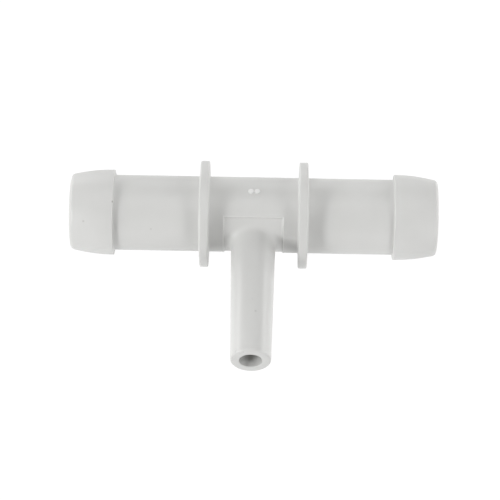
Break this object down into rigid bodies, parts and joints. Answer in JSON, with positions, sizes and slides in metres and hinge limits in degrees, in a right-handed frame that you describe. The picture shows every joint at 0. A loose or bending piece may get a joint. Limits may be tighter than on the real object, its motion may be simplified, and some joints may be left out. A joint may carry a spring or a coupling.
{
  "type": "barbed tee connector",
  "caption": "Reducing tee for soft irrigation hose: straight run with a barbed end each side, two round stop collars, and a thinner plain tapered branch.",
  "frame": {"origin": "middle of the base of the bounding box, on the plane that the two stop collars rest on", "axes": "+X along the run, -Y along the branch towards its tip, +Z square to the plane of the tee"},
  "size_m": [0.0778, 0.048, 0.0227],
  "materials": {
    "moulded_plastic": "satin light grey, injection moulded"
  },
  "bodies": {
    "root": {"run_centre": "moulded_plastic", "stop_collar_left": "moulded_plastic", "stop_collar_right": "moulded_plastic", "hose_spigot_left": "moulded_plastic", "hose_spigot_right": "moulded_plastic", "barb_head_left": "moulded_plastic", "barb_head_right": "moulded_plastic", "branch_saddle": "moulded_plastic", "branch_spigot": "moulded_plastic"}
  },
  "joints": []
}
